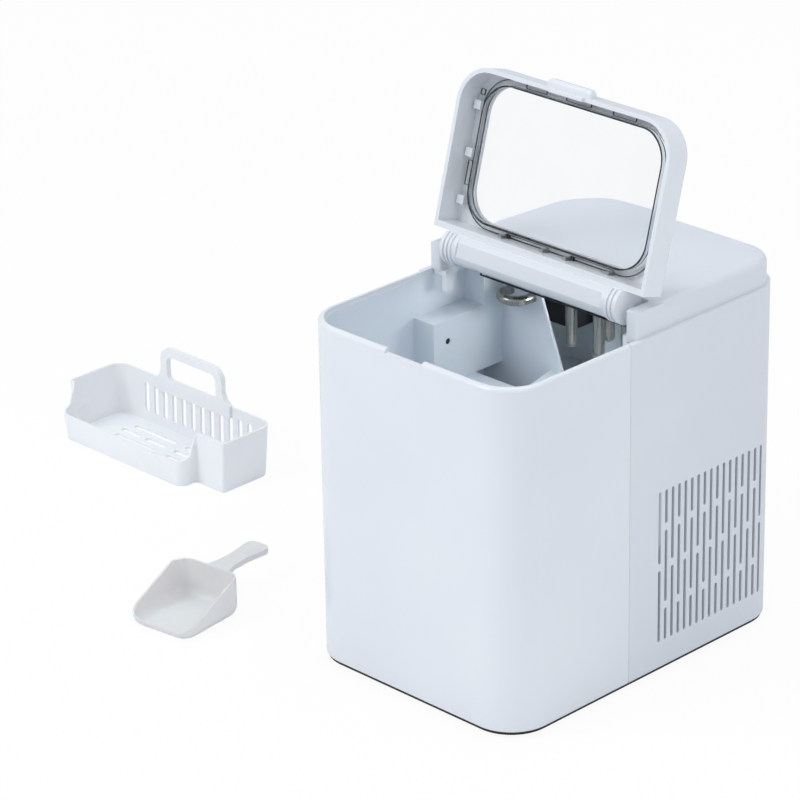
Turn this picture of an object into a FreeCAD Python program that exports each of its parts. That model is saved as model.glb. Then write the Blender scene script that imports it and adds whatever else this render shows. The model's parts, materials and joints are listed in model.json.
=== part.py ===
import FreeCAD, Part
import os
import re

# Countertop ice maker with its lid open. Millimetres, Z up, the front faces -Y.
# The origin is the middle of the footprint, on the surface it stands on.

os.makedirs("parts", exist_ok=True)
doc = FreeCAD.newDocument("IceMaker")
sheet = doc.addObject("Spreadsheet::Sheet", "Sizes")

sizes = [
    # body
    ("width", 224), ("depth", 313), ("rim_top", 290.4), ("cover_top", 312), ("shell_foot", 6),
    ("foot_height", 3), ("wall", 2.5), ("corner", 35), ("seam", 26.5), ("seam_gap", 0.3),
    ("rim_width", 4.6), ("rim_thick", 4.5), ("rim_round", 3.5), ("notch_wide", 39), ("notch_deep", 3.4),
    ("fit", 0.3), ("base_inset", 1.4), ("foot_radius", 8), ("foot_in", 30),
    # side vents
    ("vent_first", 8.3), ("vent_pitch", 7.47), ("vent_wide", 3), ("vent_low", 28.2), ("vent_high", 157.6), ("vent_bridge", 5.7),
    # tank
    ("tank_floor", 110), ("tank_wall", 2.5), ("divider_back", 8.5), ("divider_thick", 12), ("divider_top", 200),
    ("chamber_back", 133.5), ("chamber_corner", 18), ("chamber_floor", 168), ("sensor_wide", 21.9), ("sensor_front", 38), ("sensor_back", 19),
    ("sensor_top", 254.5), ("pillar_top", 281), ("eye_back", 22.2), ("eye_height", 236), ("eye_radius", 2.5),
    ("panel_front", 40), ("panel_thick", 2.5), ("panel_right_low", 6), ("panel_right_high", 50), ("panel_top", 285.5),
    ("chute_back", 44), ("chute_high", 208), ("chute_left", 33),
    # top cover and controls
    ("cover_inset", 3.3), ("cover_front", 10), ("cover_round", 6), ("cover_corner", 31), ("post_front", 17), ("post_wide", 11),
    ("strip_side", 34), ("strip_front", 21), ("strip_back", 49), ("strip_thick", 0.8),
    ("button_radius", 7), ("button_out", 42), ("button_back", 35), ("button_proud", 1.6),
    # hinge and lid, lid sizes are from the hinge line with the lid shut
    ("hinge_back", 4.5), ("hinge_high", 303), ("lid_angle", 105.6), ("lid_side", 2), ("lid_front", 1.5), ("lid_rear", 19),
    ("lid_gap", 0.3), ("lid_top", 11), ("lid_skirt", 3.5), ("lid_plate", 2), ("lid_corner", 30), ("lid_edge", 4),
    ("window_side", 20), ("window_front", 13.5), ("window_near", 30.5), ("window_corner", 25), ("window_thick", 3), ("window_lip", 5),
    ("window_over", 8), ("clip_side", 11.5), ("clip_size", 7), ("handle_half", 23), ("handle_out", 6.5), ("handle_thick", 9),
    ("bar_radius", 14), ("bar_back", 7.7), ("bar_drop", 5.8), ("bar_side", 36), ("knuckle_radius", 15.5), ("knuckle_side", 20),
    ("lug_radius", 7), ("lug_side", 16), ("pin_radius", 3), ("pin_play", 0.05), ("pin_side", 25),
    ("guard_front", 5), ("guard_thick", 1.6), ("guard_low", 286), ("guard_high", 300),
    # ice making
    ("finger_radius", 4.75), ("finger_pitch", 29.5), ("finger_first", -29), ("finger_tip", 222), ("tube_high", 270), ("tube_radius", 5.5),
    ("row_front", 60), ("row_gap", 28), ("tray_hinge_y", 102), ("tray_hinge_z", 242), ("tray_left", 38), ("tray_side", 14),
    ("tray_long", 56), ("tray_deep", 30), ("tray_wall", 2), ("tray_angle", 80), ("stub_radius", 3),
    # basket and scoop, which stand beside the machine
    ("basket_x", -481), ("basket_y", -19), ("basket_half", 102), ("basket_deep", 78), ("basket_step", 18), ("basket_left", 96),
    ("basket_right", 66), ("basket_high", 48), ("basket_lip", 24), ("basket_wall", 2), ("basket_seat", 140),
    ("slot_wide", 4.7), ("slot_pitch", 12.3), ("slot_first", 36), ("loop_top", 82), ("loop_half", 40), ("loop_bar", 8), ("loop_thick", 5),
    ("scoop_x", -230), ("scoop_y", -182), ("scoop_turn", 97),
    ("scoop_long", 72), ("scoop_half", 33), ("scoop_high", 34), ("scoop_wall", 2), ("grip_long", 62), ("grip_half", 12),
    # cooling
    ("comp_radius", 45), ("comp_x", -52), ("comp_y", 74), ("comp_low", 22), ("comp_high", 148),
    ("fan_y", 68), ("fan_z", 93), ("fan_radius", 46), ("fan_play", 2), ("coil_left", 84), ("coil_right", 104),
    ("drain_x", 62), ("drain_z", 34), ("drain_radius", 5), ("spout_radius", 9), ("gland_x", -62), ("gland_z", 42), ("gland_radius", 7),
    ("pump_x", 55), ("pump_y", -60), ("pump_radius", 22), ("float_radius", 12), ("float_x", 70), ("float_y", -110),
]
for row, (alias, value) in enumerate(sizes, start=1):
    sheet.set("A%d" % row, alias)
    sheet.set("B%d" % row, str(value))
    sheet.setAlias("B%d" % row, alias)
doc.recompute()
names = dict(sizes)
nodes = []

# places set back from the side or the front of the body: half of an overall size, less these
setBack = {
    "lid_half": ("width", "lid_side"), "lid_reach": ("depth", "lid_front", "hinge_back"),
    "window_half": ("width", "window_side"), "window_far": ("depth", "window_front", "hinge_back"), "clip_out": ("width", "clip_side"),
    "bar_half": ("width", "bar_side"), "knuckle_end": ("width", "knuckle_side"), "lug_end": ("width", "lug_side"),
    "pin_inner": ("width", "pin_side"), "strip_half": ("width", "strip_side"), "tray_right": ("width", "tray_side"),
}


def full(text):
    def word(found):
        label = found.group(0)
        if label in setBack:
            overall, *less = setBack[label]
            return "(Sizes.%s/2%s)" % (overall, "".join("-Sizes." + part for part in less))
        return "Sizes." + label if label in names else label
    return re.sub(r"[a-z_]+[a-z]", word, str(text))


def bind(thing, prop, text):
    thing.setExpression(prop, full(text))


def place(thing, x, y, z):
    for letter, text in zip("xyz", (x, y, z)):
        bind(thing, "Placement.Base." + letter, text)


turns = {"x": FreeCAD.Rotation(FreeCAD.Vector(0, 1, 0), 90), "y": FreeCAD.Rotation(FreeCAD.Vector(1, 0, 0), -90), "z": FreeCAD.Rotation()}


def block(kind, owner, label, x0, x1, y0, y1, z0, z1):
    thing = owner.newObject(kind, label) if owner else doc.addObject(kind, label)
    for prop, low, high in (("Length", x0, x1), ("Width", y0, y1), ("Height", z0, z1)):
        bind(thing, prop, "(%s)-(%s)" % (high, low))
    place(thing, x0, y0, z0)
    return thing


def rod(kind, owner, label, along, start, end, a, b, radius):
    thing = owner.newObject(kind, label) if owner else doc.addObject(kind, label)
    thing.Placement = FreeCAD.Placement(FreeCAD.Vector(), turns[along])
    bind(thing, "Radius", radius)
    bind(thing, "Height", "(%s)-(%s)" % (end, start))
    spot = {"x": (start, a, b), "y": (a, start, b), "z": (a, b, start)}[along]
    place(thing, *spot)
    return thing


def box(label, *ends):
    return block("Part::Box", None, label, *ends)


def cylinder(label, along, start, end, a, b, radius):
    return rod("Part::Cylinder", None, label, along, start, end, a, b, radius)


def join(label, *parts):
    thing = doc.addObject("Part::MultiFuse", label)
    thing.Shapes = list(parts)
    return thing


def cut(label, base, *tools):
    thing = doc.addObject("Part::Cut", label)
    thing.Base = base
    thing.Tool = tools[0] if len(tools) == 1 else join(label + "_tools", *tools)
    return thing


def node(thing, label):
    thing.Label = label
    nodes.append(thing)
    return thing


class Piece:
    # one PartDesign body, built up with boxes, rods and rounded edges
    def __init__(self, label, start=None, helper=False):
        self.body = doc.addObject("PartDesign::Body", label)
        self.label = label
        self.count = 0
        if start:
            doc.recompute()
            self.body.BaseFeature = start
            doc.recompute()
        if not helper:
            node(self.body, label)

    def name(self, word):
        self.count += 1
        return "%s_%s%d" % (self.label, word, self.count)

    def add(self, *ends):
        return block("PartDesign::AdditiveBox", self.body, self.name("box"), *ends)

    def cut(self, *ends):
        return block("PartDesign::SubtractiveBox", self.body, self.name("cut"), *ends)

    def addRod(self, *spec):
        return rod("PartDesign::AdditiveCylinder", self.body, self.name("rod"), *spec)

    def cutRod(self, *spec):
        return rod("PartDesign::SubtractiveCylinder", self.body, self.name("bore"), *spec)

    def round(self, radius, pick):
        doc.recompute()
        base = self.body.Tip
        edges = ["Edge%d" % (i + 1) for i, e in enumerate(base.Shape.Edges) if pick(e)]
        if not edges:
            raise RuntimeError("no edges to round on " + self.label)
        fillet = self.body.newObject("PartDesign::Fillet", self.name("round"))
        fillet.Base = (base, edges)
        bind(fillet, "Radius", radius)
        return fillet

    def repeat(self, features, axis, step, count):
        doc.recompute()
        line = [f for f in self.body.Origin.OriginFeatures if f.Role == axis + "_Axis"][0]
        rows = self.body.newObject("PartDesign::LinearPattern", self.name("rows"))
        rows.Originals = features
        rows.Direction = (line, [""])
        rows.Occurrences = count
        bind(rows, "Length", "(%s)*%d" % (step, count - 1))
        self.body.Tip = rows
        return rows


def middle(e):
    return e.valueAt((e.FirstParameter + e.LastParameter) / 2)


def runs(e, along):
    a, b = e.valueAt(e.FirstParameter), e.valueAt(e.LastParameter)
    d = b - a
    return d.Length > 1e-6 and abs(getattr(d, along)) > 0.999 * d.Length


def upright(test):
    return lambda e: runs(e, "z") and test(middle(e))


def level(height):
    # every edge that lies at this height
    return lambda e: all(abs(v.Point.z - height) < 1e-4 for v in e.Vertexes)


def size(label):
    if label in setBack:
        overall, *less = setBack[label]
        return size(overall) / 2 - sum(size(part) for part in less)
    return float(sheet.get(label))


def slab(label, radius, x0, x1, y0, y1, z0, z1, test=lambda p: True, helper=True):
    # a box with its upright corners rounded
    piece = Piece(label, helper=helper)
    piece.add(x0, x1, y0, y1, z0, z1)
    piece.round(radius, upright(test))
    return piece


hw, hd = size("width") / 2, size("depth") / 2

# base and feet
plate = slab("base_plate", "corner-base_inset", "base_inset-width/2", "width/2-base_inset", "base_inset-depth/2", "depth/2-base_inset", "foot_height", "shell_foot")
rim = slab("base_rim", "corner-wall-fit", "wall+fit-width/2", "width/2-wall-fit", "wall+fit-depth/2", "depth/2-wall-fit", "shell_foot-1", "shell_foot+10")
bowl = slab("base_bowl", "corner-2*wall-fit", "2*wall+fit-width/2", "width/2-2*wall-fit", "2*wall+fit-depth/2", "depth/2-2*wall-fit", "shell_foot", "shell_foot+11")
base = Piece("base_pan", cut("base_tray", join("base_full", plate.body, rim.body), bowl.body))
for sx, sy in ((-1, -1), (1, -1), (-1, 1), (1, 1)):
    base.addRod("z", "shell_foot-1", "comp_low-6", "comp_x+%d" % (30 * sx), "comp_y+%d" % (30 * sy), 6)

feet = [cylinder("foot%d" % i, "z", 0, "foot_height", "%d*(width/2-foot_in)" % sx, "%d*(depth/2-foot_in)" % sy, "foot_radius")
        for i, (sx, sy) in enumerate(((-1, -1), (1, -1), (-1, 1), (1, 1)))]
node(join("rubber_feet", *feet), "rubber_feet")

# outer shells
outer = slab("front_outer", "corner", "-width/2", "width/2", "-depth/2", "-seam-seam_gap/2", "shell_foot", "rim_top", lambda p: p.y < -hd + 1)
outer.round("rim_round", lambda e: level(size("rim_top"))(e) and middle(e).y < -size("seam") - 1)
hollow = slab("front_hollow", "corner-wall", "wall-width/2", "width/2-wall", "wall-depth/2", "0", "shell_foot-1", "rim_top-rim_thick", lambda p: p.y < -60)
mouth = slab("front_mouth", "corner-rim_width", "rim_width-width/2", "width/2-rim_width", "rim_width-depth/2", "0", "shell_foot", "rim_top+1", lambda p: p.y < -60)
notch = box("front_notch", "-notch_wide/2", "notch_wide/2", "-depth/2-1", "rim_width+1-depth/2", "rim_top-notch_deep", "rim_top+1")
node(cut("front_shell", outer.body, hollow.body, mouth.body, notch), "front_shell")

outer = slab("rear_outer", "corner", "-width/2", "width/2", "seam_gap/2-seam", "depth/2", "shell_foot", "rim_top", lambda p: p.y > hd - 1)
hollow = slab("rear_hollow", "corner-wall", "wall-width/2", "width/2-wall", "-seam-1", "depth/2-wall", "shell_foot-1", "rim_top-rim_thick", lambda p: p.y > 60)
mouth = slab("rear_mouth", "corner-rim_width", "rim_width-width/2", "width/2-rim_width", "-seam-1", "depth/2-rim_width", "shell_foot", "rim_top+1", lambda p: p.y > 60)
rear = Piece("rear_shell", cut("rear_plain", outer.body, hollow.body, mouth.body))
for first, ends in (("vent_first", ("vent_low", "(vent_low+vent_high)/2", "vent_high")),
                    ("vent_first+vent_pitch", ("vent_low", "vent_low+(vent_high-vent_low)*0.235", "vent_low+(vent_high-vent_low)*0.755", "vent_high"))):
    for k in range(len(ends) - 1):
        low = "(%s)%s+vent_wide/2" % (ends[k], "+vent_bridge/2" if k else "")
        high = "(%s)%s-vent_wide/2" % (ends[k + 1], "-vent_bridge/2" if k < len(ends) - 2 else "")
        rows = 9 if len(ends) == 3 else 8
        rear.repeat([rear.cut("-width/2-1", "width/2+1", "(%s)-vent_wide/2" % first, "(%s)+vent_wide/2" % first, low, high)], "Y", "2*vent_pitch", rows)
        rear.repeat([rear.cutRod("x", "-width/2-1", "width/2+1", first, low, "vent_wide/2")], "Y", "2*vent_pitch", rows)
        rear.repeat([rear.cutRod("x", "-width/2-1", "width/2+1", first, high, "vent_wide/2")], "Y", "2*vent_pitch", rows)
rear.cut("-52", "22", "depth/2-wall-1", "depth/2+1", "58", "142")
rear.cutRod("y", "depth/2-wall-1", "depth/2+1", "drain_x", "drain_z", "spout_radius")
rear.cutRod("y", "depth/2-wall-1", "depth/2+1", "gland_x", "gland_z", "gland_radius")

grille = Piece("rear_grille")
grille.add("-52", "22", "depth/2-wall", "depth/2", "58", "142")
slot = grille.cut("-48", "-44.5", "depth/2-wall-1", "depth/2+1", "64", "136")
grille.repeat([slot], "X", "8", 9)

# tank with its divider, and the ice making chamber behind it
tankOut = slab("tank_out", "corner-wall", "rim_width+0.5-tank_wall-width/2", "width/2-rim_width-0.5+tank_wall", "rim_width+0.5-tank_wall-depth/2", "divider_back+1", "tank_floor", "rim_top-rim_thick", lambda p: p.y < -60)
roomOut = slab("room_out", "chamber_corner+tank_wall", "rim_width+0.5-tank_wall-width/2", "width/2-rim_width-0.5+tank_wall", "divider_back", "chamber_back+tank_wall", "chamber_floor", "rim_top-rim_thick", lambda p: p.y > 60)
tankIn = slab("tank_in", "corner-rim_width", "rim_width+0.5-width/2", "width/2-rim_width-0.5", "rim_width+0.5-depth/2", "divider_back-divider_thick", "tank_floor+tank_wall", "rim_top", lambda p: p.y < -60)
roomIn = slab("room_in", "chamber_corner", "rim_width+0.5-width/2", "width/2-rim_width-0.5", "divider_back", "chamber_back", "chamber_floor+tank_wall", "rim_top", lambda p: p.y > 60)
overIn = box("over_in", "rim_width+0.5-width/2", "width/2-rim_width-0.5", "divider_back-divider_thick-1", "divider_back+1", "divider_top", "rim_top")
node(cut("tank_liner", join("tank_full", tankOut.body, roomOut.body), tankIn.body, roomIn.body, overIn), "tank_liner")

for word, side in (("left", -1), ("right", 1)):
    wallX = "%d*(width/2-rim_width-0.5)" % side
    faceX = "%d*(width/2-rim_width-0.5-sensor_wide)" % side
    ends = (wallX, faceX) if side < 0 else (faceX, wallX)
    boxIn = ("%s+0" % wallX, "%s-2" % faceX) if side < 0 else ("%s+2" % faceX, "%s-0" % wallX)
    lower = box("sensor_low_" + word, *ends, "-sensor_front", "divider_back-divider_thick", "tank_floor+tank_wall", "sensor_top")
    upper = box("sensor_mid_" + word, *ends, "divider_back-divider_thick-1", "sensor_back", "divider_top", "sensor_top")
    pillar = box("sensor_high_" + word, *ends, "sensor_back", "panel_front", "divider_top", "pillar_top")
    space = box("sensor_space_" + word, *boxIn, "2-sensor_front", "divider_back-divider_thick-2", "tank_floor+tank_wall+2", "sensor_top-2")
    eye = cylinder("sensor_eye_" + word, "x", "-width/2", "width/2", "-eye_back", "eye_height", "eye_radius")
    node(cut("sensor_housing_" + word, join("sensor_full_" + word, lower, upper, pillar), space, eye), "sensor_housing_" + word)
    lens = ("%s-6" % faceX, "%s-0.5" % faceX) if side < 0 else ("%s+0.5" % faceX, "%s+6" % faceX)
    holderEnds = ("%s-9" % faceX, "%s-2" % faceX) if side < 0 else ("%s+2" % faceX, "%s+9" % faceX)
    label = "ir_emitter" if side < 0 else "ir_receiver"
    lamp = cylinder(label + "_lamp", "x", *lens, "-eye_back", "eye_height", "eye_radius")
    foot = box(label + "_foot", *holderEnds, "-eye_back-4", "4-eye_back", "eye_height-5", "eye_height+5")
    node(join(label, lamp, foot), label)

# panel in front of the motor, sloped where the chamber opens
panel = doc.addObject("Part::Wedge", "panel_wedge")
panel.Placement.Rotation = FreeCAD.Rotation(FreeCAD.Vector(1, 0, 0), 90)
for prop, text in (("Xmin", "rim_width+0.5-width/2"), ("X2min", "rim_width+0.5-width/2"), ("Xmax", "-panel_right_low"), ("X2max", "-panel_right_high"),
                   ("Ymin", "chamber_floor+tank_wall"), ("Ymax", "panel_top"), ("Zmin", 0), ("Zmax", "panel_thick"), ("Z2min", 0), ("Z2max", "panel_thick")):
    bind(panel, prop, text)
bind(panel, "Placement.Base.y", "panel_front+panel_thick")
boreL = cylinder("bend_hole_left", "y", "panel_front-1", "panel_front+panel_thick+1", -76, 264, "4.2")
boreR = cylinder("bend_hole_right", "y", "panel_front-1", "panel_front+panel_thick+1", -52, 264, "4.2")
node(cut("chamber_panel", panel, boreL, boreR), "chamber_panel")

# ramp that the ice is pushed over
ramp = doc.addObject("Part::Wedge", "ramp_body")
for prop, text in (("Xmin", "-chute_left"), ("X2min", "-chute_left"), ("Xmax", "width/2-rim_width-0.5-sensor_wide"), ("X2max", "width/2-rim_width-0.5-sensor_wide"),
                   ("Ymin", "divider_back"), ("Ymax", "chute_back"), ("Zmin", "chamber_floor+tank_wall"), ("Z2min", "chamber_floor+tank_wall"),
                   ("Zmax", "divider_top"), ("Z2max", "chute_high")):
    bind(ramp, prop, text)
rampCut = box("ramp_cut", "-panel_right_high-60", "-panel_right_low+20", "panel_front", "chute_back+1", "chamber_floor", "chute_high+1")
rampHollow = box("ramp_hollow", "3-chute_left", "width/2-rim_width-0.5-sensor_wide-3", "divider_back+3", "chute_back-3", "chamber_floor", "divider_top-4")
node(cut("ice_ramp", ramp, rampHollow, rampCut), "ice_ramp")

# freezing fingers hang from one bent tube
legs = []
for k, y in enumerate(("row_front", "row_front+row_gap")):
    legs.append(cylinder("leg%d" % k, "x", "finger_first-12", "finger_first+4*finger_pitch-4", y, "tube_high", "tube_radius"))
bend = doc.addObject("Part::Torus", "leg_bend")
bend.Placement.Rotation = FreeCAD.Rotation(FreeCAD.Vector(0, 0, 1), -90)
bind(bend, "Radius1", "row_gap/2")
bind(bend, "Radius2", "tube_radius")
bend.Angle3 = 180
place(bend, "finger_first+4*finger_pitch-4", "row_front+row_gap/2", "tube_high")
tube = join("evaporator_tube", *legs, bend)
node(tube, "evaporator_tube")
fingers = []
for k in range(9):
    y = "row_front" if k < 5 else "row_front+row_gap"
    x = "finger_first+finger_pitch*%s-%s" % (k if k < 5 else k - 4.5, "0")
    if k == 4:
        x = "finger_first+finger_pitch*4-4"
    fingers.append(cylinder("finger%d" % k, "z", "finger_tip+finger_radius", "tube_high", x, y, "finger_radius"))
    tip = doc.addObject("Part::Sphere", "finger_end%d" % k)
    bind(tip, "Radius", "finger_radius")
    place(tip, x, y, "finger_tip+finger_radius")
    fingers.append(tip)
node(cut("evaporator_fingers", join("fingers_full", *fingers), tube), "evaporator_fingers")

arm1 = cylinder("bend_arm1", "y", 34, "panel_front+16", -76, 264, 4)
arm2 = cylinder("bend_arm2", "y", 34, "panel_front+16", -52, 264, 4)
turn = doc.addObject("Part::Torus", "bend_turn")
turn.Placement = FreeCAD.Placement(FreeCAD.Vector(-64, 34, 264), FreeCAD.Rotation(FreeCAD.Vector(0, 0, 1), 180))
turn.Radius1, turn.Radius2, turn.Angle3 = 12, 4, 180
node(join("return_bend", arm1, arm2, turn), "return_bend")

# tray motor behind the panel, and the far bearing
motor = box("motor_case", "-98", "-44", "tray_hinge_y-22", "tray_hinge_y+14", "tray_hinge_z-16", "tray_hinge_z+16")
gear = cylinder("motor_gear", "x", "-44", "-tray_left-2.6", "tray_hinge_y", "tray_hinge_z", 9)
shelf = box("motor_shelf", "rim_width+0.5-width/2", "-98", "tray_hinge_y-22", "tray_hinge_y+14", "tray_hinge_z-10", "tray_hinge_z+10")
socket = cylinder("motor_socket", "x", "-58", "-tray_left", "tray_hinge_y", "tray_hinge_z", "stub_radius+pin_play")
node(cut("tray_motor", join("motor_full", motor, gear, shelf), socket), "tray_motor")
bearing = box("bearing_block", "tray_right+1.6", "width/2-rim_width-0.5", "tray_hinge_y-7", "tray_hinge_y+7", "tray_hinge_z-7", "tray_hinge_z+9")
hole = cylinder("bearing_hole", "x", "tray_right", "width/2-rim_width-1.5", "tray_hinge_y", "tray_hinge_z", "stub_radius+pin_play")
node(cut("tray_bearing", bearing, hole), "tray_bearing")

# water tray, drawn level about its hinge and then let down
tray = Piece("water_tray")
tray.add("-tray_left", "tray_right", "-tray_long", "0", "-tray_deep", "0")
tray.round("tray_wall+4", lambda e: runs(e, "x") and middle(e).z < -size("tray_deep") + 0.1)
tray.cut("tray_wall-tray_left", "tray_right-tray_wall", "tray_wall-tray_long", "-tray_wall", "tray_wall-tray_deep", "1")
tray.round(4, lambda e: runs(e, "x") and abs(middle(e).z + size("tray_deep") - size("tray_wall")) < 0.1)
tray.addRod("x", "-tray_left", "tray_wall-tray_left", 0, 0, 6)
tray.addRod("x", "tray_right-tray_wall", "tray_right", 0, 0, 6)
tray.addRod("x", "-tray_left-14", "-tray_left+0.5", 0, 0, "stub_radius")
tray.addRod("x", "tray_right-0.5", "tray_right+7", 0, 0, "stub_radius")
tray.body.Placement = FreeCAD.Placement(FreeCAD.Vector(), FreeCAD.Rotation(FreeCAD.Vector(1, 0, 0), size("tray_angle")))
place(tray.body, 0, "tray_hinge_y", "tray_hinge_z")

# top cover with its hinge posts
shellTop = slab("cover_skin", "cover_corner", "cover_inset-width/2", "width/2-cover_inset", "cover_front", "depth/2-cover_inset", "rim_top", "cover_top", lambda p: p.y > 60)
shellTop.round("cover_round", lambda e: level(size("cover_top"))(e) and middle(e).y > size("cover_front") + 1)
roomTop = slab("cover_room", "cover_corner-wall", "cover_inset+wall-width/2", "width/2-cover_inset-wall", "cover_front+wall", "depth/2-cover_inset-wall", "rim_top-1", "cover_top-wall", lambda p: p.y > 60)
posts = []
for word, side in (("left", -1), ("right", 1)):
    outX = "%d*(width/2-cover_inset)" % side
    inX = "%d*(width/2-cover_inset-post_wide)" % side
    ends = (outX, inX) if side < 0 else (inX, outX)
    post = slab("post_" + word, 2, *ends, "-post_front", "cover_front+4", "rim_top", "cover_top-0.01", lambda p: p.y < 0)
    posts.append(post.body)
buttonHoles = [cylinder("button_hole%d" % i, "z", "cover_top-wall-1", "cover_top+2", "%d*button_out" % s, "button_back", "button_radius+fit") for i, s in enumerate((-1, 1))]
node(cut("top_cover", join("cover_full", cut("cover_shell", shellTop.body, roomTop.body), *posts), *buttonHoles), "top_cover")

strip = slab("strip_plate", 5, "-strip_half", "strip_half", "strip_front", "strip_back", "cover_top", "cover_top+strip_thick")
node(cut("control_panel", strip.body, *buttonHoles), "control_panel")
node(join("led_lights", *[cylinder("led%d" % k, "z", "cover_top+strip_thick", "cover_top+strip_thick+0.4", 12 * k - 18, "button_back", 1.5) for k in range(4)]), "led_lights")
for word, s in (("power", -1), ("select", 1)):
    stem = cylinder(word + "_stem", "z", "cover_top-wall-4", "cover_top+strip_thick+button_proud", "%d*button_out" % s, "button_back", "button_radius")
    node(join(word + "_button", stem, cylinder(word + "_flange", "z", "cover_top-wall-4", "cover_top-wall-2.6", "%d*button_out" % s, "button_back", "button_radius+1.5")), word + "_button")
board = box("board_plate", "-60", "60", "strip_front-4", "strip_back+6", "cover_top-wall-10", "cover_top-wall-8.4")
pads = [box("board_post%d" % k, 55 * a - 3, 55 * a + 3, "strip_back-3", "strip_back+3", "cover_top-wall-8.4", "cover_top-wall") for k, a in enumerate((-1, 1))]
node(join("control_board", board, *pads), "control_board")

# hinge pins, brackets and splash guard
for word, low, high in (("left", "cover_inset+post_wide-width/2", "-pin_inner"), ("right", "pin_inner", "width/2-cover_inset-post_wide")):
    node(cylinder("hinge_pin_" + word, "x", low, high, "-hinge_back", "hinge_high", "pin_radius"), "hinge_pin_" + word)
brackets = []
for k, s in enumerate((-1, 1)):
    far, near, legIn = ("%d*(width/2-cover_inset-2)" % s, "%d*(knuckle_end+1.2)" % s, "%d*(knuckle_end+5.7)" % s)
    ends = (far, near) if s < 0 else (near, far)
    legEnds = (legIn, near) if s < 0 else (near, legIn)
    brackets.append(join("bracket%d" % k, box("arm%d" % k, "%d*%s" % (s, "(width/2-rim_width-0.7)") if s < 0 else near, near if s < 0 else "width/2-rim_width-0.7", "-15", "-8", "rim_top-4", "rim_top"),
                         box("drop%d" % k, *legEnds, "-15", "-8", "rim_top-17", "rim_top-4")))
node(join("hinge_brackets", *brackets), "hinge_brackets")
guard = Piece("splash_guard")
guard.add("2-strip_half", "strip_half", "guard_front", "guard_front+guard_thick", "guard_low", "guard_high")
guard.round(8, lambda e: runs(e, "y") and middle(e).z < size("guard_low") + 0.1)
guard.add("2-strip_half", "strip_half", "guard_front", "cover_front", "guard_high-guard_thick", "guard_high")


def openLid(thing):
    # the lid pieces are drawn shut, about the hinge line, and swung back to where they rest
    thing.Placement = FreeCAD.Placement(FreeCAD.Vector(), FreeCAD.Rotation(FreeCAD.Vector(1, 0, 0), -size("lid_angle")))
    place(thing, 0, "-hinge_back", "hinge_high")
    return thing


low = "(rim_top+lid_gap-hinge_high)"
lidOut = slab("lid_out", "lid_corner", "-lid_half", "lid_half", "-lid_reach", "-lid_rear", low, "lid_top", lambda p: p.y < -100)
lidOut.round("lid_edge", lambda e: level(size("lid_top"))(e) and middle(e).y < -size("lid_rear") - 1)
lidIn = slab("lid_in", "lid_corner-lid_skirt", "lid_skirt-lid_half", "lid_half-lid_skirt", "lid_skirt-lid_reach", "-lid_rear-5", low + "-1", "lid_top-lid_plate", lambda p: p.y < -100)
lidView = slab("lid_view", "window_corner", "-window_half", "window_half", "-window_far", "-window_near", low, "lid_top+1")
node(openLid(cut("lid_frame", lidOut.body, lidIn.body, lidView.body)), "lid_frame")

glass = slab("glass", "window_corner+window_over/2", "-window_half-window_over", "window_half+window_over", "-window_far-window_over+0.6", "-window_near+5.4", "lid_top-lid_plate-window_thick", "lid_top-lid_plate")
lip = slab("glass_lip", "window_corner+2", "-window_half-3", "window_half+3", "-window_far-3", "3-window_near", "lid_top-lid_plate-window_thick-window_lip", "lid_top-lid_plate-window_thick+0.5")
lipIn = slab("glass_lip_in", "window_corner", "-window_half-1", "window_half+1", "-window_far-1", "1-window_near", "lid_top-lid_plate-window_thick-window_lip-1", "lid_top-lid_plate-window_thick")
node(openLid(cut("lid_window", join("glass_full", glass.body, lip.body), lipIn.body)), "lid_window")
clips = []
for sx in (-1, 1):
    for k, y in enumerate((-118, -80, -42)):
        clips.append(box("clip%d%d" % (sx + 1, k), "%d*clip_out-clip_size/2" % sx, "%d*clip_out+clip_size/2" % sx, "%d-clip_size/2" % y, "%d+clip_size/2" % y,
                         "lid_top-lid_plate-window_thick-4", "lid_top-lid_plate-window_thick"))
node(openLid(join("window_clips", *clips)), "window_clips")
hooks = [box("hook%d" % k, x - 2, x + 2, "-lid_rear-7.5", "-lid_rear-5", "-4", "4") for k, x in enumerate((-48, -4, 20, 64))]
node(openLid(join("snap_hooks", *hooks)), "snap_hooks")

grip = Piece("lid_handle")
grip.add("-handle_half", "handle_half", "-lid_reach-handle_out", "-lid_reach", low, low + "+handle_thick")
grip.round(3, lambda e: runs(e, "z") and middle(e).y < -size("lid_reach") - 1)
grip.round(1.5, lambda e: all(abs(v.Point.z - (size("rim_top") + size("lid_gap") - size("hinge_high") + size("handle_thick"))) < 1e-4 for v in e.Vertexes) and middle(e).y < -size("lid_reach") - 0.5)
openLid(grip.body)
tongue = Piece("lid_tongue")
tongue.add( "-notch_wide/2+2", "notch_wide/2-2", "0.5-lid_reach", "lid_skirt-lid_reach", "rim_top+lid_gap-hinge_high-notch_deep+0.9", low)
openLid(tongue.body)

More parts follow.
